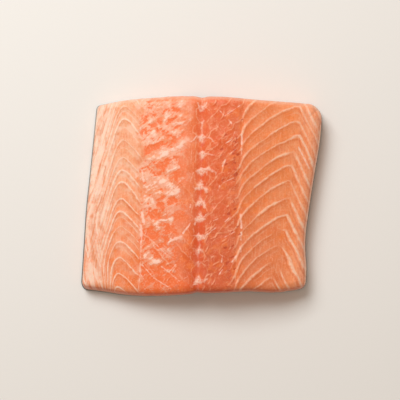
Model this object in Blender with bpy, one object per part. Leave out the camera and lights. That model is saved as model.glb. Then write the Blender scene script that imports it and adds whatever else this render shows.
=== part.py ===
"""Raw salmon fillet, a centre cut across one whole side of the fish, lying skin down.

Units are metres, +Z up. +X runs across the fish from the belly edge to the back edge, and +Y along it.
The origin is under the middle of the piece, on the surface that it lies on. The sizes below and the lengths
in the shape functions are in millimetres, from a point near the middle of the cut, until solid() scales them.
"""

import bmesh
import bpy
import numpy as np

MM = 0.001

# Plan of the flesh at its rim: sharp corners of the cut, belly side and back side, front cut and rear cut
BELLY_FRONT, BACK_FRONT = (-73.0, -53.8), (65.0, -53.5)
BELLY_REAR, BACK_REAR = (-63.3, 58.0), (75.6, 58.3)
CORNER_RADII = {"belly_front": 3.2, "back_front": 3.0, "belly_rear": 1.6, "back_rear": 9.0}

# How far each edge bows outwards, at shares of its length from the belly side or from the front cut
FRONT_BOW = ((0, 0), (0.09, 1.5), (0.17, 3.3), (0.25, 4.3), (0.43, 3.9), (0.52, 2.9), (0.63, 2.4),
             (0.75, 1.6), (0.86, 2.4), (1, 0))
REAR_BOW = ((0, 0), (0.07, 2.1), (0.14, 3.6), (0.25, 4.7), (0.37, 5.5), (0.46, 5.2), (0.55, 4.9), (0.70, 3.0),
            (0.86, 1.4), (1, 0))
BELLY_BOW = ((0, 0), (0.22, 0.5), (0.44, 1.0), (0.62, 0.6), (1, 0))
BACK_BOW = ((0, 0), (0.12, -0.8), (0.18, -2.0), (0.29, -3.0), (0.40, -2.6), (0.53, -1.8), (0.65, -0.9),
            (0.80, 0.3), (1, 0))

# Height of the upper face over the table, at shares of the way from belly to back, and its rounded rim
THICKNESS = ((0, 10.0), (0.12, 13.2), (0.27, 17.4), (0.42, 21.4), (0.55, 24.2), (0.68, 25.2), (0.84, 22.4),
             (1, 17.0))
HEAD_END_EXTRA = 0.05
RIM_WIDTHS = {"belly": 3.0, "back": 6.5, "cut": 4.2}
RIM_DROPS = {"belly": 2.6, "back": 5.0, "cut": 4.0}

# Outward lean of the side walls from rim to skin, and how far the two cuts swell
FLARES = {"belly": 0.8, "back": 1.0, "front": 1.7, "rear": 0.4}
CUT_BULGE = 0.5

# Marks on the upper face. A border is a line that leans: its x at the middle, and the shift of x along y
SEAM, RIB_LINE, PIN_LINE = (-0.3, 0.028), (-37.2, 0.010), (23.4, 0.045)
BACK_APEX, BELLY_APEX, PLAIN_FLESH = (53.8, 0.090), (-48.5, 0.038), (-11.0, 0.020)
SEAM_DEPTH, SEAM_WIDTH, SEAM_NOTCH = 1.3, 3.0, 0.7
MARK_PITCH, MARK_FIRST_Y, MARK_HEIGHT, MARK_RADIUS = 9.77, -49.4, 0.9, 2.3
BACK_PITCH, BACK_START_Y, BELLY_PITCH, BELLY_START_Y = 8.65, -50.7, 9.2, 0.6
FLAKE_RELIEF = 0.2
RAGGED_RELIEF, RAGGED_CELL = 0.5, 4.5
SWELL_RELIEF, SWELL_CELL = 0.7, 34.0

SKIN_THICKNESS, SKIN_GAP = 1.0, 0.3
# The skin shows past the flesh at the belly edge and round its two corners, and is nearly flush elsewhere
SKIN_OVERHANG, SKIN_FLUSH = 0.5, 0.12

# Grid: rows near the rim follow its rounding, and the rest are even
RIM_ROWS = (0, 0.5, 1.6, 3.4)
CELLS_ACROSS, CELLS_ALONG = 58, 47
WALL_ROWS = 4

FLESH_COLOUR, FLESH_ROUGHNESS = (0.80, 0.19, 0.075, 1), 0.38
SKIN_COLOUR, SKIN_ROUGHNESS = (0.10, 0.11, 0.11, 1), 0.3


def through(stations, share):
    """A smooth curve through (share, value) stations: cubic pieces whose slopes are central differences."""
    at, value = np.array(stations, float).T
    slope = np.gradient(value, at)
    piece = np.clip(np.searchsorted(at, share, side="right") - 1, 0, len(at) - 2)
    width = at[piece + 1] - at[piece]
    t = (share - at[piece]) / width
    return (
        value[piece] * (1 + 2 * t) * (1 - t) ** 2
        + value[piece + 1] * t * t * (3 - 2 * t)
        + width * (slope[piece] * t * (1 - t) ** 2 - slope[piece + 1] * t * t * (1 - t))
    )


def lattice_noise(x, y, cell, seed):
    """Smooth random hills from -1 to 1: values drawn on a square lattice, blended between its corners."""
    values = np.random.default_rng(seed).uniform(-1, 1, (97, 97))
    u, v = x / cell + 48, y / cell + 48
    i, j = np.floor(u).astype(int), np.floor(v).astype(int)
    a, b = u - i, v - j
    a, b = a * a * (3 - 2 * a), b * b * (3 - 2 * b)
    front = values[i, j] * (1 - a) + values[i + 1, j] * a
    rear = values[i, j + 1] * (1 - a) + values[i + 1, j + 1] * a
    return front * (1 - b) + rear * b


def blend(low, high, value):
    """0 below low, 1 above high, and a smooth step between."""
    t = np.clip((value - low) / (high - low), 0, 1)
    return t * t * (3 - 2 * t)


def border(line, y):
    """Where a leaning border crosses y."""
    return line[0] + line[1] * y


def plan_size():
    """Length of the flesh across and along the fish, between the middles of opposite edges."""
    across = ((BACK_FRONT[0] - BELLY_FRONT[0]) + (BACK_REAR[0] - BELLY_REAR[0])) / 2
    along = ((BELLY_REAR[1] - BELLY_FRONT[1]) + (BACK_REAR[1] - BACK_FRONT[1])) / 2
    return across, along


def round_corners(a, b):
    """Turns the squares round each corner into arcs. a and b are lengths from the belly and the front."""
    across, along = plan_size()
    for name, radius in CORNER_RADII.items():
        from_back = name.startswith("back")
        from_rear = name.endswith("rear")
        p = radius - (across - a if from_back else a)
        q = radius - (along - b if from_rear else b)
        inside = (p > 0) & (q > 0)
        shrink = np.where(inside, np.maximum(p, q) / np.maximum(np.hypot(p, q), 1e-9), 1)
        a = np.where(inside, (across - radius + p * shrink) if from_back else (radius - p * shrink), a)
        b = np.where(inside, (along - radius + q * shrink) if from_rear else (radius - q * shrink), b)
    return a, b


def plan(a, b):
    """Plan position of the point a from the belly and b from the front cut: four bowed edges, blended."""
    across, along = plan_size()
    a, b = round_corners(a, b)
    u, v = a / across, b / along
    weights = ((1 - u) * (1 - v), u * (1 - v), (1 - u) * v, u * v)
    corners = (BELLY_FRONT, BACK_FRONT, BELLY_REAR, BACK_REAR)
    x = sum(corner[0] * weight for corner, weight in zip(corners, weights))
    y = sum(corner[1] * weight for corner, weight in zip(corners, weights))
    x = x + through(BACK_BOW, v) * u - through(BELLY_BOW, v) * (1 - u)
    y = y + through(REAR_BOW, u) * v - through(FRONT_BOW, u) * (1 - v)
    notch = SEAM_NOTCH * np.exp(-(((x - border(SEAM, y)) / SEAM_WIDTH) ** 2))
    return x, y + notch * (1 - v) ** 8 - notch * v**8


def flake_phase(x, y):
    """Phase of the muscle flakes: a whole number is the middle of a pale sheet between two of them.

    Over the back a sheet rises to its apex as a flattening curve, then falls steeply as a straight line. Over
    the belly it is an arch, with a straight arm towards the ribs and an ever steeper one towards the edge.
    """
    rise = 1 + 0.0035 * y
    inner = (0.80 * (x - 36.6) - 0.009 * (x - 36.6) ** 2) * rise
    apex = border(BACK_APEX, y)
    top = (0.80 * (apex - 36.6) - 0.009 * (apex - 36.6) ** 2) * rise
    back = np.minimum(inner, top - 1.7 * (x - apex))
    from_apex = x - border(BELLY_APEX, y)
    right = -1.15 * (np.sqrt(from_apex**2 + 9) - 3)
    left = -0.13 * np.minimum(-from_apex, 14) ** 2 - 3.64 * np.clip(-from_apex - 14, 0, 40)
    belly = np.where(from_apex > 0, right, left)
    over_back = (y - back - BACK_START_Y) / BACK_PITCH
    return np.where(x > border(SEAM, y), over_back, (y - belly - BELLY_START_Y) / BELLY_PITCH)


def relief(x, y):
    """Height of the marks on the upper face over its smooth crown.

    A bell-shaped groove along the seam, a bell on each mark of the backbone, hills on the torn lining over the
    ribs and on the flesh beside the seam, a ridge on each pale sheet between flakes, and a slow swell.
    """
    from_seam = x - border(SEAM, y)
    groove = -SEAM_DEPTH * np.exp(-((from_seam / SEAM_WIDTH) ** 2))
    beat = (y - MARK_FIRST_Y) / MARK_PITCH
    to_mark = np.hypot(from_seam, (beat - np.round(beat)) * MARK_PITCH)
    marks = MARK_HEIGHT * np.exp(-((to_mark / MARK_RADIUS) ** 2))
    lining = blend(-1.5, 1.5, x - border(RIB_LINE, y)) * (1 - blend(-3, 2, x - border(PLAIN_FLESH, y)))
    inner = blend(2, 5, from_seam) * (1 - blend(-3, 0.5, x - border(PIN_LINE, y)))
    ragged = RAGGED_RELIEF * (lining + 0.7 * inner) * lattice_noise(x + 0.5 * y, y, RAGGED_CELL, 3)
    ridges = FLAKE_RELIEF * (1 - lining) * (1 - inner) * np.cos(2 * np.pi * flake_phase(x, y))
    ridges = ridges * blend(4, 9, np.abs(from_seam))
    return groove + marks + ragged + ridges + SWELL_RELIEF * lattice_noise(x, y, SWELL_CELL, 8)


def along_cut(a, sizes):
    """A rim size along the two cuts: the cut's own, passing into that of the belly or back near the corners."""
    across, _ = plan_size()
    middle = blend(0.0, 0.12, a / across) * (1 - blend(0.88, 1.0, a / across))
    side = np.where(a < across / 2, sizes["belly"], sizes["back"])
    return sizes["cut"] * middle + side * (1 - middle)


def rim_share(a, b):
    """0 inside the rounded rim and 1 at the outline: the largest of the four sides' shares, rounded off."""
    across, along = plan_size()
    width = along_cut(a, RIM_WIDTHS)
    belly = np.clip(1 - a / RIM_WIDTHS["belly"], 0, 1)
    back = np.clip(1 - (across - a) / RIM_WIDTHS["back"], 0, 1)
    front = np.clip(1 - b / width, 0, 1)
    rear = np.clip(1 - (along - b) / width, 0, 1)
    return np.clip((belly**8 + back**8 + front**8 + rear**8) ** 0.125, 0, 1)


def upper_face(a, b):
    """Plan position and height of the upper face: crown and relief, less an elliptic drop at the rim."""
    across, along = plan_size()
    x, y = plan(a, b)
    crown = through(THICKNESS, a / across) * (1 + HEAD_END_EXTRA * (b / along - 0.5))
    drop, e = along_cut(a, RIM_DROPS), rim_share(a, b)
    return x, y, crown + relief(x, y) * (1 - 0.6 * e) - drop * (1 - np.sqrt(1 - e * e))


def rows_of(length, cells):
    """Stations from 0 to length: the rim rows at both ends, and even cells between."""
    inner = np.linspace(RIM_ROWS[-1], length - RIM_ROWS[-1], cells - 2 * len(RIM_ROWS) + 3)
    return np.concatenate([RIM_ROWS[:-1], inner, length - np.array(RIM_ROWS[-2::-1])])


def outline_of(across_count, along_count):
    """Indices of the grid's outer points, counter-clockwise from the belly side of the front cut."""
    index = np.arange(across_count * along_count).reshape(across_count, along_count)
    return np.concatenate([index[:-1, 0], index[-1, :-1], index[:0:-1, -1], index[0, :0:-1]])


def outward(ring):
    """Unit vectors pointing out of a counter-clockwise ring of plan points."""
    ahead = np.roll(ring, -1, axis=0) - np.roll(ring, 1, axis=0)
    across = np.stack([ahead[:, 1], -ahead[:, 0]], axis=1)
    return across / np.linalg.norm(across, axis=1, keepdims=True)


def side_shares(normal):
    """How far each outward direction faces the belly, back, front and rear. The four add up to 1."""
    shares = np.clip(np.column_stack([-normal[:, 0], normal[:, 0], -normal[:, 1], normal[:, 1]]), 0, 1) ** 2
    return dict(zip(("belly", "back", "front", "rear"), shares.T))


def flesh_shape():
    """Points and faces of the flesh: upper grid, leaning walls and a flat underside. Also its lowest ring."""
    across, along = plan_size()
    stations_a, stations_b = rows_of(across, CELLS_ACROSS), rows_of(along, CELLS_ALONG)
    a, b = np.meshgrid(stations_a, stations_b, indexing="ij")
    x, y, z = upper_face(a, b)
    points = [np.stack([x.ravel(), y.ravel(), z.ravel()], axis=1)]
    rows, columns = len(stations_a), len(stations_b)
    corner = np.arange(rows * columns).reshape(rows, columns)[:-1, :-1].ravel()
    faces = np.stack([corner, corner + columns, corner + columns + 1, corner + 1], axis=1).tolist()

    ring = outline_of(rows, columns)
    rim = points[0][ring]
    normal = outward(rim[:, :2])
    facing = side_shares(normal)
    flare = sum(FLARES[side] * facing[side] for side in FLARES)
    bulge = CUT_BULGE * (facing["front"] + facing["rear"])
    floor = SKIN_THICKNESS + SKIN_GAP
    above, count = ring, len(ring)
    for row in range(1, WALL_ROWS + 1):
        share = row / WALL_ROWS
        out = flare * share + bulge * np.sin(np.pi * share)
        height = rim[:, 2] * (1 - share) + floor * share
        points.append(np.column_stack([rim[:, :2] + normal * out[:, None], height]))
        below = rows * columns + (row - 1) * count + np.arange(count)
        faces += np.stack([above, below, np.roll(below, -1), np.roll(above, -1)], axis=1).tolist()
        above = below
    faces.append(above[::-1].tolist())
    return np.concatenate(points), faces, points[-1][:, :2]


def skin_shape(base):
    """Points and faces of the skin: a sheet along the flesh's base ring that overhangs it at the belly."""
    normal = outward(base)
    to_back = blend(base[:, 0].min(), 0.3 * base[:, 0].min(), base[:, 0])
    out = SKIN_OVERHANG * (1 - to_back) + SKIN_FLUSH * to_back
    edge = base + normal * out[:, None]
    count = len(edge)
    low = np.column_stack([edge, np.zeros(count)])
    high = np.column_stack([edge, np.full(count, SKIN_THICKNESS)])
    here = np.arange(count)
    ahead = np.roll(here, -1)
    faces = np.stack([here, ahead, ahead + count, here + count], axis=1).tolist()
    faces += [here[::-1].tolist(), (here + count).tolist()]
    return np.concatenate([low, high]), faces


def material(name, colour, roughness):
    made = bpy.data.materials.new(name)
    made.use_nodes = True
    shader = made.node_tree.nodes["Principled BSDF"]
    shader.inputs["Base Color"].default_value = colour
    shader.inputs["Roughness"].default_value = roughness
    shader.inputs["Metallic"].default_value = 0
    return made


def solid(name, points, faces, finish):
    """One named object from points in millimetres, triangulated, and smooth away from its edges."""
    mesh = bpy.data.meshes.new(name)
    mesh.from_pydata((points * MM).tolist(), [], faces)
    form = bmesh.new()
    form.from_mesh(mesh)
    bmesh.ops.recalc_face_normals(form, faces=form.faces)
    bmesh.ops.triangulate(form, faces=form.faces)
    form.to_mesh(mesh)
    form.free()
    mesh.shade_smooth()
    mesh.set_sharp_from_angle(angle=np.radians(50))
    mesh.materials.append(finish)
    made = bpy.data.objects.new(name, mesh)
    bpy.context.scene.collection.objects.link(made)
    return made


def main():
    for old in list(bpy.data.objects):
        bpy.data.objects.remove(old)
    flesh_points, flesh_faces, base = flesh_shape()
    skin_points, skin_faces = skin_shape(base)
    low, high = skin_points[:, :2].min(axis=0), skin_points[:, :2].max(axis=0)
    centre = np.append((low + high) / 2, 0)
    flesh = material("raw_salmon_flesh", FLESH_COLOUR, FLESH_ROUGHNESS)
    skin = material("salmon_skin", SKIN_COLOUR, SKIN_ROUGHNESS)
    solid("flesh", flesh_points - centre, flesh_faces, flesh)
    solid("skin", skin_points - centre, skin_faces, skin)


main()
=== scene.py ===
"""Looks of the raw salmon fillet: moist orange flesh with its pale fat lines, and the scaled skin under it.

Lengths in the pattern functions are in millimetres, from the middle of the cut as a camera above it sees it:
x runs from the belly edge to the back edge, and y from the front cut to the rear cut.
"""

import bpy
import numpy as np
from mathutils import Matrix


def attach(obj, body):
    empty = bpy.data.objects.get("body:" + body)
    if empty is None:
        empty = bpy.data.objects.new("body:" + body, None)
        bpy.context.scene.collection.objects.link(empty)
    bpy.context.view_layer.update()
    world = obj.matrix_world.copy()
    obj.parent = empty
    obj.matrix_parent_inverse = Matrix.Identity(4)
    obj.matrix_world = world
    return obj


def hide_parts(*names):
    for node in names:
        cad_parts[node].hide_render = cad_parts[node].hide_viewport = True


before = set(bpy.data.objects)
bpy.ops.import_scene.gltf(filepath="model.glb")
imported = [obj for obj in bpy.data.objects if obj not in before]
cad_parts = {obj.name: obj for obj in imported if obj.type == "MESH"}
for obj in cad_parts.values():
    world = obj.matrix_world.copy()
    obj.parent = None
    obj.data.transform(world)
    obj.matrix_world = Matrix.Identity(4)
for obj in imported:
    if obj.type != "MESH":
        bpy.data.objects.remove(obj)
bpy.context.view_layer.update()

bl_info = {
    "name": "Raw Salmon Fillet",
    "version": (1, 0, 0),
    "blender": (4, 5, 0),
    "location": "3D View > Sidebar > Salmon",
    "description": "Builds a raw salmon fillet with its skin, and a plain stage to see it on",
    "category": "Add Mesh",
}

MM = 0.001

# Plan of the flesh at its rim: sharp corners, corner radii, and how far each edge bows outwards (share, mm)
BELLY_FRONT, BACK_FRONT = (-73.0, -53.8), (65.0, -53.5)
BELLY_REAR, BACK_REAR = (-63.3, 58.0), (75.6, 58.3)
CORNER_RADII = {"belly_front": 3.2, "back_front": 3.0, "belly_rear": 1.6, "back_rear": 9.0}
FRONT_BOW = (
    (0, 0), (0.09, 1.5), (0.17, 3.3), (0.25, 4.3), (0.43, 3.9), (0.52, 2.9), (0.63, 2.4), (0.75, 1.6),
    (0.86, 2.4), (1, 0),
)
REAR_BOW = (
    (0, 0), (0.07, 2.1), (0.14, 3.6), (0.25, 4.7), (0.37, 5.5), (0.46, 5.2), (0.55, 4.9), (0.70, 3.0),
    (0.86, 1.4), (1, 0),
)
BELLY_BOW = ((0, 0), (0.22, 0.5), (0.44, 1.0), (0.62, 0.6), (1, 0))
BACK_BOW = (
    (0, 0), (0.12, -0.8), (0.18, -2.0), (0.29, -3.0), (0.40, -2.6), (0.53, -1.8), (0.65, -0.9), (0.80, 0.3),
    (1, 0),
)

# Height of the upper face over the table (share, mm), rim rounding, and the outward lean of the walls
THICKNESS = (
    (0, 10.0), (0.12, 13.2), (0.27, 17.4), (0.42, 21.4), (0.55, 24.2), (0.68, 25.2), (0.84, 22.4),
    (1, 17.0),
)
HEAD_END_EXTRA = 0.05
RIM_WIDTHS = {"belly": 3.0, "back": 6.5, "cut": 4.2}
RIM_DROPS = {"belly": 2.6, "back": 5.0, "cut": 4.0}
FLARES = {"belly": 0.8, "back": 1.0, "front": 1.7, "rear": 0.4}
CUT_BULGE = 0.5
SEAM_WIDTH, SEAM_NOTCH = 3.0, 0.7
SKIN_HEIGHT, SKIN_OVERHANG, SKIN_FLUSH = 1.0, 0.5, 0.12
SWELL_RELIEF, SWELL_CELL = 0.7, 34.0
# The power that blends two rims at a corner, the rows of points down a wall, and the depth from the top where a
# wall's own look starts
RIM_POWER, WALL_ROWS, WALL_START = 24, 24, 1.5
# The skin: spacing of its rings, width and length of a scale, its relief, and the hollow that the scales lie in
SKIN_GRID, SCALE_WIDTH, SCALE_LENGTH, SCALE_RELIEF, SKIN_HOLLOW = 0.8, 4.2, 3.4, 0.16, 0.18
# Faces that meet at more than this angle, in degrees, keep a sharp edge between them
SHARP_ANGLE = 55
# The stage, in metres: half the floor's side, the floor's height, and the light's place and side
FLOOR_HALF, FLOOR_HEIGHT, LIGHT_PLACE, LIGHT_SIDE = 4.0, -0.0002, (-0.40, 0.72, 1.06), 0.7

# Borders between the zones of the flesh, from belly to back: x at the middle, shift of x along y, share across
BORDERS = {
    "belly_edge": (-68.6, 0.085, 0.00),
    "streaks": (-58.0, 0.050, 0.10),
    "belly_apex": (-48.5, 0.038, 0.20),
    "ribs": (-37.2, 0.010, 0.30),
    "plain": (-11.0, 0.020, 0.44),
    "seam": (-0.3, 0.028, 0.50),
    "pins": (23.4, 0.045, 0.68),
    "back_apex": (53.8, 0.090, 0.87),
    "back_edge": (69.5, 0.090, 1.00),
}
# Where each pale sheet of the back crosses x = 36.6, where its outer arm crosses x = 61.4, and where each arch
# of the belly has its peak
BACK_CROSSING, OUTER_CROSSING = 36.6, 61.4
BACK_LINES = (-50.5, -42.0, -33.5, -25.0, -17.0, -8.5, 1.2, 10.4, 18.9, 27.4, 35.3, 44.5, 53.0)
OUTER_LINES = (-79.8, -68.2, -51.0, -36.2, -25.2, -12.9, -1.8, 9.8, 21.5, 38.1, 46.1, 56.5, 64.5)
BELLY_LINES = (-54.0, -45.6, -36.2, -25.2, -14.9, -6.4, 0.6, 11.1, 18.4, 25.8, 36.8, 49.1, 57.1)
BACK_RISE, BACK_FALL, PIN_HOOK, BELLY_FALL, STEEPEST = 21.0, 2.0, 4.5, 1.15, 3.64
# Near the front cut the belly's lines turn towards the back: where that starts, and the shift of x over the
# square of the way past it
TURN_FROM, TURN = -32.0, 0.0138

# Torn rib lining, paler (+) or barer (-) than the rest: ends, half width, strength
LINING_STROKES = (
    (-30, 25, -21, 28.5, 2.0, 0.42), (-21, 28.5, -4, 38, 1.4, 0.50), (-34, 30, -8, 41, 1.4, -0.60),
    (-22, 11, -14, 6, 2.0, 0.50), (-19.5, 17.5, -14, 20.5, 1.4, 0.50), (-34, 9, -26, 2, 2.2, 0.25),
    (-29.5, 45, -26, 47, 1.5, -0.55), (-25, 43, -18, 39, 1.8, -0.45), (-24, 20, -19.5, 24, 2.0, -0.55),
    (-22, 48, -20, 52, 1.6, 0.40), (-13, 58, -7, 56, 2.0, 0.50), (-31, 20, -25, 15, 1.6, -0.35),
    (-13, 17, -7, 30, 2.6, -0.45), (-28, 41, -27, 42, 1.4, 0.50), (-24, 36, -18, 37.5, 1.2, 0.45),
    (-14, 39, -8, 44, 0.9, 0.35), (-11, 8, -9, 12, 1.6, -0.35), (-24, 4.3, -16, 3.6, 1.5, 0.45),
    (-32, 0.6, -29, -1.8, 1.4, 0.40), (-24, -12.7, -17, -11.9, 1.2, 0.60), (-28, -14, -25, -16, 1.9, 0.45),
    (-18, -25.5, -12, -23.7, 1.3, 0.60), (-19.4, -30.4, -18, -31.4, 1.8, 0.50),
    (-28.3, -37, -25, -37.4, 1.5, 0.50), (-33.4, -34.4, -30, -35.7, 1.3, 0.40),
    (-17, 0.5, -16.5, -1, 1.8, -0.60), (-25, -3.5, -23, -4, 2.0, -0.45),
    (-28, -10.6, -26, -10.4, 1.7, -0.55), (-17.2, -18, -16.4, -18.4, 2.5, -0.65),
    (-31, -19.5, -29, -20.5, 2.0, -0.55), (-34, -23.5, -33.5, -24, 1.6, -0.50),
    (-21, -25, -20.4, -26, 1.6, -0.55), (-26, -33, -24.6, -33.4, 1.6, -0.55),
    (-20, -38.6, -18.6, -39, 2.2, -0.60), (-32.6, -41, -31.6, -41.6, 2.0, -0.40),
    (-25.4, -44, -24, -44.6, 2.4, -0.50), (-26, -50, -12, -48, 3.4, -0.40), (-12, -30, -9, -46, 3.0, -0.30),
    (-13, -8, -9, -14, 2.2, -0.35),
)
# Pale smears where the sheets start, at the pin line and the rib line, and loose pale threads: ends, half
# width, strength
SMEARS = (
    (25.3, 40, 25.4, 34, 1.0, 0.8), (25.5, 31, 25, 27, 0.9, 0.7), (24, 22, 24, 14, 0.6, 0.6),
    (24.6, -9, 25.2, -17, 1.2, 0.78), (25.2, -19.5, 24.8, -24, 1.0, 0.75), (24.3, -28, 25, -31.6, 0.9, 0.7),
    (22, -34, 19.5, -37.7, 0.9, 0.8), (-35.6, 18, -34.7, 12, 1.3, 0.8),
    (-35.6, -8, -34.7, -13.4, 1.5, 0.85), (-36.5, -15.8, -35.9, -22, 1.4, 0.85),
    (-35.5, -20, -36.4, -29, 0.9, 0.80), (-36.2, -30, -36.9, -44, 0.7, 0.70),
    (-36.7, -45, -38, -56, 0.6, 0.68), (-37, -44, -33.5, -50, 0.6, 0.7),
    (60.2, 32.2, 66.9, 19.5, 0.9, 0.85), (-38, 52, -35, 36, 0.6, 0.6), (-37, 5, -36.6, -6, 0.6, 0.6),
    (-23.7, -40.4, -19.1, -44.1, 0.6, 0.75), (-19.1, -44.1, -14.6, -39.2, 0.6, 0.7),
    (-19.1, -44.1, -12.6, -49.4, 0.6, 0.75), (-12.6, -49.4, -7, -46.5, 0.5, 0.6),
    (-35.3, -39.9, -28.3, -47.7, 0.6, 0.8), (-28.3, -47.7, -17.2, -54.5, 0.6, 0.8),
    (-30, -24.2, -20.7, -33.1, 0.6, 0.75), (-20.7, -33.1, -15.4, -36.2, 0.6, 0.7),
    (-10.4, -20.4, -5.9, -14.2, 0.9, 0.8), (-6.1, 10.9, -4, 16.7, 0.6, 0.7),
    (-13.4, 10.3, -10.3, 13.4, 1.1, 0.65), (-6.1, -4.4, -5.7, -3, 0.9, 0.75),
    (-11, -5.5, -6.5, -8, 0.5, 0.6), (-5.5, 22, -5, 30, 0.5, 0.62), (-12, 33, -9, 24, 0.5, 0.6),
    (-9.5, -28, -6, -34, 0.5, 0.6), (11, 55.5, 15, 51, 0.5, 0.7), (15, 51, 25, 58, 0.6, 0.7),
    (9, 47, 13, 42, 0.5, 0.6), (17.5, 49, 19, 46.5, 0.9, 0.7), (15.6, 34.4, 19.8, 37.2, 0.6, 0.75),
    (19.8, 37.2, 21, 41.5, 0.5, 0.7), (18, 28, 22.5, 31.5, 0.6, 0.65), (13.6, 20.4, 15.4, 24.4, 0.8, 0.8),
    (14, 10.5, 20.5, 13.5, 0.6, 0.75), (11, 6, 12, 9, 0.7, 0.7), (8, -12.6, 11, -11.4, 0.6, 0.65),
    (15, -13.5, 17.4, -11, 0.6, 0.7), (15, -22.6, 21, -19.4, 0.6, 0.7), (12, -33, 17, -36, 0.6, 0.65),
    (13, -38, 13.6, -34, 0.8, 0.7), (11.4, -45.5, 14, -42, 0.6, 0.7),
)
# Stretches where a pale sheet is broad and bright, or worn away: ends, half width, strength
BRIGHT_STROKES = (
    (36, -8, 45, -2, 1.8, 0.9), (33, 9, 39, 13, 1.6, 0.6), (37, 44, 38, 45.5, 1.6, 0.5),
    (47, 43, 56, 50, 1.8, 0.5), (58, 41, 60, 40, 2.0, 0.6), (49, -30, 55, -40, 1.9, 0.6),
    (50, -42, 54, -49, 1.8, 0.4), (30, -47, 36, -43, 1.8, 0.5), (49, 56, 52, 59, 1.6, 0.5),
    (43, 16, 46, 17.5, 1.6, 0.4), (51, 28, 53, 29, 1.6, 0.4), (51, -18, 61, -35, 1.6, 0.3),
    (46, -20, 50, -20, 2.2, -0.9), (44, -32, 48, -33, 2.6, -1.0), (43, -42, 47, -42, 2.6, -1.0),
    (55, 30, 58, 28, 2.0, -0.6), (53, 3, 55, 0, 2.0, -0.5), (60, 28, 66, 19, 1.3, 0.6),
    (46.5, -26.6, 50, -27.6, 2.0, -0.8), (44, -36.6, 47, -37.4, 1.8, -0.7),
    (42.5, -46.4, 45.5, -47.2, 1.8, -0.7),
)
# Marks of the backbone along the seam: y, half width, half height, 1 for a long tail below or -1 for one above,
# strength
MARKS = (
    (56.6, 2.2, 2.4, 1, 0.8), (47.4, 1.3, 3.0, 1, 0.55), (38.3, 3.2, 3.4, 1, 1.0), (28.6, 2.6, 3.6, 1, 0.9),
    (18.2, 3.0, 3.4, 1, 1.0), (7.9, 3.0, 3.8, -1, 1.0), (-2.3, 3.0, 3.4, -1, 1.0),
    (-12.2, 3.6, 3.4, -1, 1.0), (-21.6, 3.0, 3.2, 1, 1.0), (-30.4, 2.4, 2.8, 1, 0.8),
    (-38.3, 2.0, 2.2, 1, 0.45), (-49.9, 3.2, 3.0, -1, 1.0),
)
# Thin arms of those marks (ends, half width) and ragged dark pits near the pin bones (x, y, radius)
MARK_ARMS = (
    (0, 54, -1.5, 59.5, 0.6), (0.6, 54, 3.5, 58.8, 0.7), (-2, 38.6, -6, 35.5, 0.5),
    (2.5, 38.6, 6, 37.4, 0.5), (6, 37.4, 8.5, 35.4, 0.4), (2, 28.3, 9, 27.6, 0.45),
    (1.5, 18.8, 5, 19.2, 0.8), (5, 19.2, 8.5, 17.2, 0.8), (8.5, 17.2, 9.4, 15.4, 0.5),
    (4.3, 18.8, 4.2, 15.8, 0.6), (0.6, 10, -2.8, 6.8, 0.8), (0.8, 10, 4.2, 5.4, 0.8),
    (0.2, 0, -2.4, -3.4, 0.8), (0.6, 0, 3.2, -4.6, 0.8), (2, -10.5, 4, -9, 0.6), (-2, -13, -3.2, -15, 0.6),
    (2, -23, 5.5, -20.6, 0.6), (5.5, -20.6, 9.8, -17.2, 0.5), (-2, -50.5, -4.5, -51, 0.5),
    (2, -50, 4, -48.6, 0.5),
)
PITS = (
    (12.8, 30.6, 0.9), (15.2, 39.2, 0.6), (25.0, 48.6, 0.6), (22.6, 27.2, 0.8), (15.2, 21.3, 0.9),
    (21.3, 15.5, 1.6), (13.4, 11.9, 0.7), (17.0, -8.5, 1.1), (20.9, -5.8, 0.7), (22.6, -16.5, 0.7),
    (19.2, -19.5, 0.6), (23.4, -21.3, 0.6), (15.0, -29.3, 0.8), (19.6, -28.0, 0.7), (16.0, -38.7, 1.1),
    (19.4, -34.9, 0.7), (20.9, -42.1, 0.6),
)


def linear(hex_colour):
    """sRGB hex to linear RGBA, by the two-part sRGB curve."""
    share = np.array([int(hex_colour[i:i + 2], 16) for i in (1, 3, 5)]) / 255
    value = np.where(share <= 0.04045, share / 12.92, ((share + 0.055) / 1.055) ** 2.4)
    return (*value.tolist(), 1.0)


def through(stations, share):
    """A smooth curve through (share, value) stations: cubic pieces whose slopes are central differences."""
    at, value = np.array(stations, float).T
    slope = np.gradient(value, at)
    piece = np.clip(np.searchsorted(at, share, side="right") - 1, 0, len(at) - 2)
    width = at[piece + 1] - at[piece]
    t = (share - at[piece]) / width
    return (
        value[piece] * (1 + 2 * t) * (1 - t) ** 2
        + value[piece + 1] * t * t * (3 - 2 * t)
        + width * (slope[piece] * t * (1 - t) ** 2 - slope[piece + 1] * t * t * (1 - t))
    )


def lattice_noise(x, y, cell, seed):
    """Smooth random hills from -1 to 1: values drawn on a square lattice, blended between its corners."""
    values = np.random.default_rng(seed).uniform(-1, 1, (97, 97))
    u, v = x / cell + 48, y / cell + 48
    i, j = np.floor(u).astype(int) % 96, np.floor(v).astype(int) % 96
    a, b = u - np.floor(u), v - np.floor(v)
    a, b = a * a * (3 - 2 * a), b * b * (3 - 2 * b)
    front = values[i, j] * (1 - a) + values[i + 1, j] * a
    rear = values[i, j + 1] * (1 - a) + values[i + 1, j + 1] * a
    return front * (1 - b) + rear * b


def blend(low, high, value):
    """0 below low, 1 above high, and a smooth step between."""
    t = np.clip((value - low) / (high - low), 0, 1)
    return t * t * (3 - 2 * t)


def border(name, y):
    """Where a zone's border crosses y: a straight line that leans with the cut."""
    middle, lean, _ = BORDERS[name]
    return middle + lean * y


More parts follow.
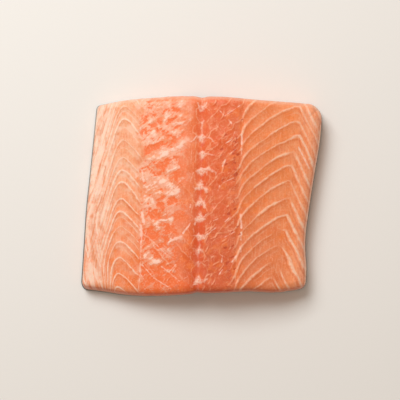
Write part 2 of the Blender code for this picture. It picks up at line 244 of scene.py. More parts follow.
def stroke(x, y, x0, y0, x1, y1, radius):
    """1 on the line from (x0, y0) to (x1, y1), falling off as a bell over radius."""
    along = np.array([x1 - x0, y1 - y0]) + 1e-9
    t = np.clip(((x - x0) * along[0] + (y - y0) * along[1]) / (along @ along), 0, 1)
    return np.exp(-((x - x0 - t * along[0]) ** 2 + (y - y0 - t * along[1]) ** 2) / radius**2)


def strokes(x, y, rows):
    """The bells of a table of strokes, each times its strength."""
    return [row[5] * stroke(x, y, *row[:5]) for row in rows]


def plan_size():
    """Length of the flesh across and along the fish, between the middles of opposite edges."""
    across = ((BACK_FRONT[0] - BELLY_FRONT[0]) + (BACK_REAR[0] - BELLY_REAR[0])) / 2
    along = ((BELLY_REAR[1] - BELLY_FRONT[1]) + (BACK_REAR[1] - BACK_FRONT[1])) / 2
    return across, along


def round_corners(a, b):
    """Turns concentric squares round each corner into arcs. a and b are lengths from belly and front."""
    across, along = plan_size()
    for name, radius in CORNER_RADII.items():
        from_back = name.startswith("back")
        from_rear = name.endswith("rear")
        p = radius - (across - a if from_back else a)
        q = radius - (along - b if from_rear else b)
        inside = (p > 0) & (q > 0)
        shrink = np.where(inside, np.maximum(p, q) / np.maximum(np.hypot(p, q), 1e-9), 1)
        a = np.where(inside, (across - radius + p * shrink) if from_back else (radius - p * shrink), a)
        b = np.where(inside, (along - radius + q * shrink) if from_rear else (radius - q * shrink), b)
    return a, b


def plan(a, b):
    """Plan position of the point a from the belly edge and b from the front cut: four bowed edges, blended."""
    across, along = plan_size()
    a, b = round_corners(a, b)
    u, v = a / across, b / along
    weights = ((1 - u) * (1 - v), u * (1 - v), (1 - u) * v, u * v)
    corners = (BELLY_FRONT, BACK_FRONT, BELLY_REAR, BACK_REAR)
    x = sum(corner[0] * weight for corner, weight in zip(corners, weights))
    y = sum(corner[1] * weight for corner, weight in zip(corners, weights))
    x = x + through(BACK_BOW, v) * u - through(BELLY_BOW, v) * (1 - u)
    y = y + through(REAR_BOW, u) * v - through(FRONT_BOW, u) * (1 - v)
    notch = SEAM_NOTCH * np.exp(-(((x - border("seam", y)) / SEAM_WIDTH) ** 2))
    return x, y + notch * (1 - v) ** 8 - notch * v**8


def along_cut(a, sizes):
    """A rim size along the two cuts: the cut's own, passing into that of the belly or back near the corners."""
    across, _ = plan_size()
    middle = blend(0.0, 0.12, a / across) * (1 - blend(0.88, 1.0, a / across))
    side = np.where(a < across / 2, sizes["belly"], sizes["back"])
    return sizes["cut"] * middle + side * (1 - middle)


def rim_share(a, b):
    """0 inside the rounded rim and 1 at the outline: a root of the summed high powers of the sides' shares."""
    across, along = plan_size()
    width = along_cut(a, RIM_WIDTHS)
    ways = (a / RIM_WIDTHS["belly"], (across - a) / RIM_WIDTHS["back"], b / width, (along - b) / width)
    return np.clip(sum(np.clip(1 - way, 0, 1) ** RIM_POWER for way in ways) ** (1 / RIM_POWER), 0, 1)


def outward(ring):
    """Unit vectors pointing out of a counter-clockwise ring of plan points."""
    ahead = np.roll(ring, -1, axis=0) - np.roll(ring, 1, axis=0)
    across = np.stack([ahead[:, 1], -ahead[:, 0]], axis=1)
    return across / np.linalg.norm(across, axis=1, keepdims=True)


def side_shares(normal):
    """How far each outward direction faces the belly, back, front and rear. The four add up to 1."""
    shares = np.clip(np.column_stack([-normal[:, 0], normal[:, 0], -normal[:, 1], normal[:, 1]]), 0, 1) ** 2
    return dict(zip(("belly", "back", "front", "rear"), shares.T))


def count_up(value, lines):
    """How many lines value has passed: a whole number at each, with even spacing past the first and last."""
    pitch = (lines[-1] - lines[0]) / (len(lines) - 1)
    inside = np.interp(value, lines, np.arange(len(lines)))
    return inside + (np.clip(value - lines[-1], 0, None) - np.clip(lines[0] - value, 0, None)) / pitch


def back_curve(x, y):
    """Height of a back sheet over the pin line: one less a power of the way left to the apex, and a hook."""
    pins, apex = border("pins", y), border("back_apex", y)
    bend = 1.52 - 0.004 * y
    t = (x - pins) / (apex - pins)
    rise = BACK_RISE * np.where(t > 0, 1 - np.clip(1 - t, 0, 1) ** bend, bend * t)
    return rise - PIN_HOOK * np.exp(-np.clip(x - pins, 0, None) / 1.7)


def front_turn(y):
    """Shift of the belly's lines towards the back near the front cut: a square of the way past its start."""
    return TURN * np.clip(TURN_FROM - y, 0, None) ** 2


def belly_curve(x, y):
    """Height of a belly sheet against its peak: a straight arm to the ribs, and a square towards the edge."""
    off = x - border("belly_apex", y)
    off = off - front_turn(y) * blend(0, 9, -off)
    right = -BELLY_FALL * (np.sqrt(off**2 + 9) - 3)
    left = -0.28 * np.minimum(-off, 6.5) ** 2 - STEEPEST * np.clip(-off - 6.5, 0, None)
    return np.where(off > 0, right, left)


def flake_phase(x, y, depth):
    """Phase of the muscle flakes: a whole number is the middle of a pale sheet between two of them.

    The sheets follow the back's and the belly's curves, with a straight fall outside the back's apexes. They
    wander a little, wriggle beside the seam, and lean with depth, so a cut shows nested arcs.
    """
    here = x > border("seam", y)
    wander = 0.12 * lattice_noise(x, y, 17, 21) + 0.05 * lattice_noise(x, y, 6, 22)
    pins = border("pins", y)
    wriggle = np.where(here, 1 - blend(-4, 1, x - pins), blend(-3, 3, x - border("ribs", y)))
    wander = wander + wriggle * (0.16 * lattice_noise(x, y, 4.2, 23) + 0.07 * lattice_noise(x, y, 2.1, 24))
    crossing = back_curve(np.full_like(x, BACK_CROSSING), y)
    inside = count_up(y - back_curve(x, y) + crossing + 0.9 * depth, BACK_LINES)
    outside = count_up(y + BACK_FALL * (x - OUTER_CROSSING) + 0.9 * depth, OUTER_LINES)
    over_back = (inside + outside + np.sqrt((inside - outside) ** 2 + 0.006)) / 2
    over_belly = count_up(y - belly_curve(x, y) + 0.7 * depth, BELLY_LINES)
    return np.where(here, over_back, over_belly) + wander


def line_fields(x, y, depth):
    """The pale sheets: their phase, half width in phase, brightness, finer lines between, and creamy bands.

    Half widths are in millimetres across a line, and the phase's slope turns them to phase.
    """
    seam, pins, ribs, streaks = (border(n, y) for n in ("seam", "pins", "ribs", "streaks"))
    apex = border("back_apex", y)
    here = x > seam
    flake = flake_phase(x, y, depth)
    slope = np.hypot(flake_phase(x + 0.05, y, depth) - flake, flake_phase(x, y + 0.05, depth) - flake) / 0.05
    slope = np.clip(slope, 0.08, 0.5)
    inner = here * (1 - blend(-3, 0.5, x - pins))
    lining = blend(-1.5, 1.5, x - ribs) * (1 - here)
    edge = 1 - blend(-3, 3, x - streaks)

    own = lattice_noise(flake, x / 14, 1, 33)
    patchy = 0.6 * own + 0.5 * lattice_noise(x + 40, y, 6, 31) + 0.3 * lattice_noise(x, y, 2.4, 32)
    start = np.exp(-(((x - pins - 1.2) / 1.8) ** 2))
    rear_lining = lining * blend(-30, -8, y)
    half = np.where(here, 0.62 + 0.40 * blend(-2, 3, x - apex) + 0.25 * start - 0.22 * inner,
                    0.48 + 0.25 * edge - 0.04 * lining)
    bright = np.where(here, 0.70 - 0.36 * inner + 0.12 * start + 0.16 * blend(-1, 3, x - apex),
                      0.74 - 0.24 * edge - 0.58 * lining - 0.10 * rear_lining)
    accent = sum(strokes(x, y, BRIGHT_STROKES))
    bright = bright + accent
    half = half + 0.45 * np.clip(accent, 0, 1)
    bright = bright + (0.42 + 0.20 * inner - 0.10 * lining) * patchy
    bright = bright * blend(1.5, 4.0, np.abs(x - seam))
    half = half * (1 + 0.55 * patchy) * (1 - 0.25 * blend(1.5, 5, depth))
    fine = (1 - here) * (1 - lining) * (0.42 + 0.7 * lattice_noise(x + 9, y, 8, 36))
    fine = fine + here * (1 - inner) * (0.05 + 0.5 * lattice_noise(x + 9, y, 9, 37))
    tail = (flake % 1 - 1) % 1
    cream = (1 - here) * (1 - lining) * (0.5 + 0.8 * lattice_noise(flake, x / 16, 1, 38))
    cream = cream * (0.3 + 0.7 * (0.5 + 0.5 * np.cos(2 * np.pi * (tail + 0.28))))
    cream = cream * (1.25 - 0.85 * blend(-8, -40, y))
    return {
        "flake": flake,
        "half": np.clip(half, 0.15, None) * slope,
        "bright": np.clip(bright, 0, 1),
        "fine": np.clip(fine, 0, 1),
        "cream": np.clip(cream, 0, 1),
    }


def torn_lining(x, y):
    """Pale lining above a half, and bare flesh below: noise drawn out up and to the right, with strokes."""
    x, y = x + 1.1 * lattice_noise(x, y, 3.4, 43), y + 1.1 * lattice_noise(x, y, 3.4, 44)
    along, over = 0.87 * x + 0.5 * y, 0.87 * y - 0.5 * x
    coarse, finer = lattice_noise(along * 0.6, over, 3.0, 41), lattice_noise(along * 0.7, over, 1.5, 42)
    return 0.46 + 0.26 * coarse + 0.16 * finer + 0.8 * sum(strokes(x, y, LINING_STROKES))


def backbone_marks(x, y):
    """Pale marks, one to a vertebra: one less a root of the way out across and along, with thin arms.

    One end of a mark is drawn out, a faint thread joins them all, and noise bends them.
    """
    x, y = x + 0.7 * lattice_noise(x, y, 2.3, 61), y + 0.7 * lattice_noise(x, y, 2.3, 62)
    thread = np.exp(-(((x - border("seam", y) - 0.5) / 0.8) ** 2))
    mark = 0.55 * thread - 0.66 + 0.3 * lattice_noise(x, y, 3.1, 63)
    for middle, wide, tall, way, strength in MARKS:
        off_x, off_y = np.abs(x - border("seam", middle) - 0.5), y - middle
        reach = tall * (1 - 0.4 * way * np.sign(off_y))
        star = 1 - (off_x / wide) ** 0.85 - (np.abs(off_y) / reach) ** 0.85
        mark = np.maximum(mark, star * strength - 0.2 * (1 - strength))
    for x0, y0, x1, y1, radius in MARK_ARMS:
        mark = np.maximum(mark, 0.8 * stroke(x, y, x0, y0, x1, y1, radius) - 0.5)
    return mark


def seam_cells(x, y):
    """Distance beyond the arcs that swell out on both sides of the seam from each mark to the next."""
    middles = np.array([mark[0] for mark in MARKS][::-1])
    beat = np.interp(y, middles, np.arange(len(middles))) % 1
    reach = 1.0 + 3.6 * np.sqrt(np.clip(np.sin(np.pi * beat), 0, 1))
    reach = reach + 1.3 * lattice_noise(x, y, 4, 64) + 0.6 * lattice_noise(x, y, 1.9, 65)
    return np.abs(x - border("seam", y) - 0.4) - reach


def hooks(x, y, cell, lean, seed):
    """Short bent strokes, at most one to a square of a lattice: 1 on a stroke's middle, and 0 past its ends.

    Each square draws where its stroke lies, how it turns from the lean, its bend, its length and whether it is
    there. The distance across a stroke is taken from a parabola along it.
    """
    drawn = np.random.default_rng(seed).uniform(-1, 1, (6, 96, 96))
    u, v = x / cell + 48, y / cell + 48
    found = np.zeros_like(x)
    for i, j in np.ndindex(3, 3):
        column, row = np.floor(u).astype(int) + i - 1, np.floor(v).astype(int) + j - 1
        side, up, turn, bend, size, kept = drawn[:, column % 96, row % 96]
        off_x, off_y = u - column - 0.5 - 0.4 * side, v - row - 0.5 - 0.4 * up
        way = lean + 0.7 * turn
        along = off_x * np.cos(way) + off_y * np.sin(way)
        over = off_y * np.cos(way) - off_x * np.sin(way) - 0.9 * bend * along**2
        within = blend(-0.3, 0.2, kept) * (1 - np.clip((along / (0.66 + 0.3 * size)) ** 2, 0, 1))
        found = np.maximum(found, within * np.exp(-((over * cell / 0.55) ** 2)))
    return found


def belly_streaks(x, y):
    """Noise drawn out along the belly's edge, from -1 to 1: it leans as the sheets do, and turns as they do."""
    past = np.clip(-12 - y, 0, None)
    across = x - 0.27 * y - 0.62 * past**2 / (past + 10) + 0.9 * lattice_noise(x, y, 8, 71)
    wide = lattice_noise(across / 1.25, y / 9, 1, 72)
    return 0.6 * wide + 0.4 * lattice_noise(across / 0.8, y / 5, 1, 73)


def fields(x, y, depth):
    """The smooth fields that the flesh's relief and its material share, at points x, y, depth under the top."""
    seam, pins, ribs, streaks, plain = (border(n, y) for n in ("seam", "pins", "ribs", "streaks", "plain"))
    on_top = 1 - blend(1.5, 5, depth)
    found = line_fields(x, y, depth)
    found["torn"] = torn_lining(x, y)
    frayed = 2.2 * lattice_noise(x, y, 5, 45) + 1.2 * lattice_noise(x, y, 2.2, 46)
    found["lining"] = blend(-2, 2, x - ribs + frayed) * (1 - blend(-5, 6, x - plain + 1.5 * frayed)) * on_top
    found["inner"] = blend(2, 5, x - seam) * (1 - blend(-3, 0.5, x - pins)) * (0.3 + 0.7 * on_top)
    found["mark"] = np.where(depth > 2, -1, backbone_marks(x, y))
    found["cell"] = np.where(depth > 2, 9, seam_cells(x, y))
    gap, pit = np.zeros_like(x), np.zeros_like(x)
    for middle, _, tall, way, strength in MARKS:
        below = middle - (1.5 if way > 0 else 0.9) * tall
        at = border("seam", middle) + 0.5
        gap = np.maximum(gap, strength * stroke(x, y, at - 0.2, below, at + 0.4, below + 1.2, 1.4))
    found["gap"] = gap * on_top
    dusk = 0.52 * np.exp(-(((x - pins + 3.2) / 3.4) ** 2)) * (0.75 + 0.5 * lattice_noise(x, y, 9, 47))
    for pit_x, pit_y, radius in PITS:
        pit = np.maximum(pit, stroke(x, y, pit_x, pit_y, pit_x + 0.9, pit_y + 0.6, radius))
    found["pit"] = np.maximum(pit, dusk) * on_top
    found["smear"] = np.max(strokes(x, y, SMEARS), axis=0) * on_top
    loose = np.clip(found["inner"] + 0.7 * found["lining"], 0, 1) * on_top
    found["hook"] = loose * np.maximum(hooks(x, y, 5.2, 0.75, 81), 0.75 * hooks(x, y, 3.8, 0.5, 82))
    found["hook_shade"] = loose * hooks(x - 0.4, y + 0.9, 5.2, 0.75, 81)
    found["streak"] = belly_streaks(x, y)
    found["edge"] = (1 - blend(-4, 4, x - streaks)) * (0.5 + 0.5 * on_top)
    share = np.zeros_like(x)
    named = list(BORDERS)
    for low, high in zip(named[:-1], named[1:]):
        step = BORDERS[high][2] - BORDERS[low][2]
        share = share + step * np.clip((x - border(low, y)) / (border(high, y) - border(low, y)), 0, 1)
    found["across"] = share
    found["front"] = 1 - blend(-52, 30, y)
    return found


def relief(x, y, shape):
    """Height of the upper face over its smooth crown.

    A bell-shaped groove along the seam, a low cone on each mark, a ridge on each pale sheet, crumpled hills on
    the torn lining, dips at the pits, and a slow swell.
    """
    from_seam = x - border("seam", y)
    found = fields(x, y, np.zeros_like(x))
    groove = -shape.seam_depth / MM * np.exp(-((from_seam / SEAM_WIDTH) ** 2))
    marks = 0.35 * blend(-0.2, 0.7, found["mark"])
    sheet = np.exp(-(((found["flake"] + 0.5) % 1 - 0.5) / 0.16) ** 2) * found["bright"]
    ridges = shape.flake_relief / MM * (sheet + 0.4 * np.cos(2 * np.pi * found["flake"]))
    ridges = ridges * (1 - found["lining"]) * (1 - 0.7 * found["inner"]) * (1 - 0.5 * found["edge"])
    ridges = ridges * blend(4, 9, np.abs(from_seam))
    ragged = 0.32 * found["lining"] * (np.clip(found["torn"], 0, 1) - 0.5)
    ragged = ragged + 0.25 * found["inner"] * lattice_noise(x + 0.5 * y, y, 3, 3) + 0.05 * found["hook"]
    swell = SWELL_RELIEF * lattice_noise(x, y, SWELL_CELL, 8)
    pin_line = -0.3 * np.exp(-(((x - border("pins", y)) / 1.2) ** 2))
    return groove + marks + ridges + ragged + swell - 0.15 * found["pit"] + pin_line - 0.05


def stations_of(length, spacing):
    """Distances from 0 to length: squares near both ends, to follow the rim, and even steps between."""
    rim = 4.6 * (np.arange(9) / 9) ** 2
    inner = np.linspace(4.6, length - 4.6, int((length - 9.2) / spacing) + 1)
    return np.concatenate([rim, inner, length - rim[::-1]])


def upper_face(a, b, shape):
    """Plan position and height of the upper face: crown and relief, less an elliptic drop at the rim."""
    across, along = plan_size()
    x, y = plan(a, b)
    crown = through(THICKNESS, a / across) * (1 + HEAD_END_EXTRA * (b / along - 0.5))
    drop, e = along_cut(a, RIM_DROPS), rim_share(a, b)
    return x, y, crown + relief(x, y, shape) * (1 - 0.6 * e) - drop * (1 - np.sqrt(1 - e * e))


def flesh_surface(shape):
    """Points in millimetres, faces and fields of the flesh, and its lowest ring.

    The upper face is a grid. The walls run down from its outline in rows. They lean outwards by each side's
    flare, swell by half a sine on the cuts, and have ridges where the pale sheets come out. A fan closes the
    underside.
    """
    across, along = plan_size()
    spacing = shape.grid / MM
    a, b = np.meshgrid(stations_of(across, spacing), stations_of(along, spacing), indexing="ij")
    x, y, z = upper_face(a, b, shape)
    rows, columns = x.shape
    index = np.arange(rows * columns).reshape(rows, columns)
    corner = index[:-1, :-1].ravel()
    faces = [np.stack([corner, corner + columns, corner + columns + 1, corner + 1], axis=1)]
    points = [np.stack([x.ravel(), y.ravel(), z.ravel()], axis=1)]
    depths = [np.zeros(rows * columns)]

    ring = np.concatenate([index[:-1, 0], index[-1, :-1], index[:0:-1, -1], index[0, :0:-1]])
    rim = points[0][ring]
    normal = outward(rim[:, :2])
    facing = side_shares(normal)
    flare = sum(FLARES[side] * facing[side] for side in FLARES)
    cut = facing["front"] + facing["rear"]
    above, count = ring, len(ring)
    for row in range(1, WALL_ROWS + 1):
        share = row / WALL_ROWS
        height = rim[:, 2] * (1 - share) + SKIN_HEIGHT * share
        depth = rim[:, 2] - height + WALL_START
        arch = np.sin(np.pi * share)
        flake = flake_phase(rim[:, 0], rim[:, 1], depth)
        rough = 0.08 * lattice_noise(rim[:, 0] + rim[:, 1], height * 1.7, 2.3, 51)
        rough = 0.10 * np.cos(2 * np.pi * flake) + rough
        out = flare * share + arch * (CUT_BULGE * cut + rough - 0.15)
        points.append(np.column_stack([rim[:, :2] + normal * out[:, None], height]))
        depths.append(depth)
        below = rows * columns + (row - 1) * count + np.arange(count)
        faces.append(np.stack([above, below, np.roll(below, -1), np.roll(above, -1)], axis=1))
        above = below
    base = points[-1]
    points.append(np.append(base[:, :2].mean(axis=0), SKIN_HEIGHT)[None])
    depths.append(np.array([30.0]))
    last = rows * columns + WALL_ROWS * count
    fan = np.stack([above, np.full(count, last), np.roll(above, -1)], axis=1)
    points, depths = np.concatenate(points), np.concatenate(depths)
    found = fields(points[:, 0], points[:, 1], depths)
    found["low"] = points[:, 2] - SKIN_HEIGHT
    # A wall's point takes its distances from the point of the rim above it, and adds its way down
    above_it = np.concatenate([np.arange(rows * columns), np.tile(ring, WALL_ROWS), ring[:1]])
    down = np.clip(depths - WALL_START, 0, None)
    past_corner = np.clip(14 - (along - b), 0, None)
    found["from_back"] = (across - a + 0.25 * past_corner).ravel()[above_it] + 0.7 * down
    found["from_rear"] = (along - b).ravel()[above_it] + 0.7 * down
    found["from_front"] = b.ravel()[above_it] + np.clip(0.25 * down, 0, 1.2)
    found["wall"] = blend(0, 1.5, down)
    from_seam = np.abs(points[:, 0] - border("seam", points[:, 1]))
    found["brown"] = np.where(depths > 0, np.clip(1.1 - found["low"] / 5.5 - from_seam / 22, 0, 1), 0)
    return points, np.concatenate(faces).tolist() + fan.tolist(), found, base[:, :2]


def skin_edge(base):
    """The skin's outline: the flesh's lowest ring moved outwards, further at the belly than elsewhere."""
    to_back = blend(base[:, 0].min(), 0.3 * base[:, 0].min(), base[:, 0])
    out = SKIN_OVERHANG * (1 - to_back) + SKIN_FLUSH * to_back
    return base + outward(base) * out[:, None]


def scale_height(x, y):
    """Overlapping scales, 0 at a scale's root and 1 at its free edge.

    Rows lie a scale's length apart, each shifted by half a width. A scale's free edge is a circular arc, and
    behind it shows the scale of the next row.
    """
    row = np.floor(y / SCALE_LENGTH)
    part = y / SCALE_LENGTH - row
    edges = []
    for shift in (row % 2, (row + 1) % 2):
        side = np.abs((x / SCALE_WIDTH + 0.5 * shift) % 1 - 0.5)
        edges.append(0.75 * (1 - np.sqrt(np.clip(1 - (2 * side) ** 2, 0, 1))))
    return np.where(part > edges[0], part - edges[0], part + 1 - edges[1]) / 1.6


def skin_surface(edge):
    """Points in millimetres and faces of the skin: a scaled underside, a flat upper side and a thin rim.

    The underside is a fan of rings, each ring the outline shrunk towards the middle. The upper side is one ring
    and a fan, as the flesh covers it.
    """
    middle = edge.mean(axis=0)
    shares = np.linspace(1, 0, int(60 / SKIN_GRID) + 1)[:-1]
    count, rings = len(edge), len(shares)
    flat = middle + (edge - middle)[None] * shares[:, None, None]
    x, y = flat[..., 0], flat[..., 1]
    inside = blend(0.0, 0.03, 1 - shares)[:, None]
    scales = SCALE_RELIEF * scale_height(x, y) * inside
    under = np.dstack([x, y, SKIN_HOLLOW * inside - scales]).reshape(-1, 3)
    over = np.column_stack([edge, np.full(count, SKIN_HEIGHT - 0.02)])
    points = np.concatenate([under, over, [[*middle, 0.1], [*middle, SKIN_HEIGHT - 0.02]]])
    index = np.arange(rings * count).reshape(rings, count)
    ahead = np.roll(index, -1, axis=1)
    low = np.stack([index[:-1], index[1:], ahead[1:], ahead[:-1]], axis=-1).reshape(-1, 4)
    top = rings * count + np.arange(count)
    side = np.stack([index[0], ahead[0], np.roll(top, -1), top], axis=-1)
    last = (rings + 1) * count
    low_fan = np.stack([index[-1], np.full(count, last), ahead[-1]], axis=-1)
    high_fan = np.stack([np.roll(top, -1), np.full(count, last + 1), top], axis=-1)
    faces = np.concatenate([low, side]).tolist() + np.concatenate([low_fan, high_fan]).tolist()
    return points, faces


def make_piece(name, points, faces, fields_of, material):
    """A mesh object at the origin from points in metres, smooth but for its sharp edges, with its fields."""
    mesh = bpy.data.meshes.new(name)
    mesh.from_pydata(points.tolist(), [], faces)
    mesh.shade_smooth()
    mesh.set_sharp_from_angle(angle=np.radians(SHARP_ANGLE))
    for field, values in fields_of.items():
        made = mesh.attributes.new(field, "FLOAT", "POINT")
        made.data.foreach_set("value", np.ascontiguousarray(values, np.float32))
    mesh.materials.append(material)
    mesh.validate()
    made = bpy.data.objects.new(name, mesh)
    bpy.context.scene.collection.objects.link(made)
    return made


def add(tree, kind, inputs=(), out=0, **settings):
    """Adds one node with its settings. Inputs come in order or by key, each a value or an output to link."""
    made = tree.nodes.new("ShaderNode" + kind)
    for name, value in settings.items():
        setattr(made, name, value)
    for key, value in inputs.items() if isinstance(inputs, dict) else enumerate(inputs):
        if isinstance(value, bpy.types.NodeSocket):
            tree.links.new(value, made.inputs[key])
        else:
            made.inputs[key].default_value = value
    return made.outputs[out]


def new_material(name, finish):
    """A material with its node tree and its shader, whose own sockets take the values of finish."""
    made = bpy.data.materials.new(name)
    made.use_nodes = True
    shader = made.node_tree.nodes["Principled BSDF"]
    for socket, value in finish.items():
        shader.inputs[socket].default_value = value
    return made, made.node_tree, shader


def fill_ramp(socket, stops):
    """Sets the stops of the colour ramp that socket belongs to, as (place, sRGB hex)."""
    ramp = socket.node.color_ramp
    while len(ramp.elements) < len(stops):
        ramp.elements.new(0.5)
    for element, (place, colour) in zip(ramp.elements, stops):
        element.position = place
        element.color = linear(colour)


# Flesh between the pale sheets, belly edge (0) to back edge (1): its colours at the rear cut and the front cut
FLESH_STOPS = (
    (0.00, "#ECB08E", "#F09A72"), (0.08, "#ECAA84", "#EE9060"), (0.16, "#ECA67C", "#EC7E3E"),
    (0.27, "#EB9C6E", "#EC742C"), (0.33, "#E99262", "#E67234"), (0.43, "#E87A42", "#E0622A"),
    (0.49, "#E46C3A", "#D05226"), (0.56, "#DE5C2C", "#CC542C"), (0.66, "#DA6030", "#D45E34"),
    (0.71, "#E67F48", "#DA7242"), (0.85, "#EE8C54", "#E47C48"), (0.93, "#FC9C68", "#FF9C66"),
    (1.00, "#FFAE84", "#FFAE84"),
)
# The pale sheets, from the same edge to the same edge
FAT_STOPS = (
    (0.00, "#F6D8C4"), (0.15, "#F6D2BA"), (0.30, "#F6CCB2"), (0.45, "#F6C2A2"), (0.60, "#F4A680"),
    (0.70, "#F6BC9A"), (0.85, "#FAC4A4"), (1.00, "#FFD4BA"),
)
SKIN_STOPS = (
    (0.00, "#5E605C"), (0.05, "#9A9B96"), (0.25, "#A9ABA6"), (0.46, "#8C9190"), (0.50, "#4B5154"),
    (0.54, "#6F7779"), (0.75, "#40484C"), (1.00, "#2C3235"),
)

# Muscle holds water, so its IOR is near 1.4. A weak shine and a thin coat give a moist face without hard
# glints, and light that sinks 2 mm in, red the furthest, takes the hardness off its edges
MUSCLE_FINISH = {
    "IOR": 1.40, "Specular IOR Level": 0.30, "Coat Weight": 0.05, "Coat Roughness": 0.25,
    "Subsurface Weight": 0.12, "Subsurface Radius": (1.0, 0.35, 0.2), "Subsurface Scale": 0.002,
}
# The skin's silver comes from thin plates under a clear film, so it is partly metallic under a wet coat
SKIN_FINISH = {"Metallic": 0.25, "Coat Weight": 0.2, "Coat Roughness": 0.2}

MUSCLE_FIELDS = (
    "flake", "half", "bright", "fine", "cream", "torn", "lining", "inner", "mark", "cell", "gap", "pit",
    "smear", "hook", "hook_shade", "streak", "edge", "across", "front", "low", "from_back", "from_rear",
    "from_front", "wall", "brown",
)
# Noises: hills to a metre, detail, roughness. Their hills are 10, 7, 4, 2, 1.1 and 0.6 mm across
MUSCLE_NOISES = {
    "folds": (100.0, 2.0, 0.5), "patches": (150.0, 3.0, 0.55), "clumps": (250.0, 2.0, 0.5),
    "crumbs": (500.0, 3.0, 0.6), "specks": (900.0, 2.0, 0.6), "grain": (1600.0, 2.0, 0.6),
}
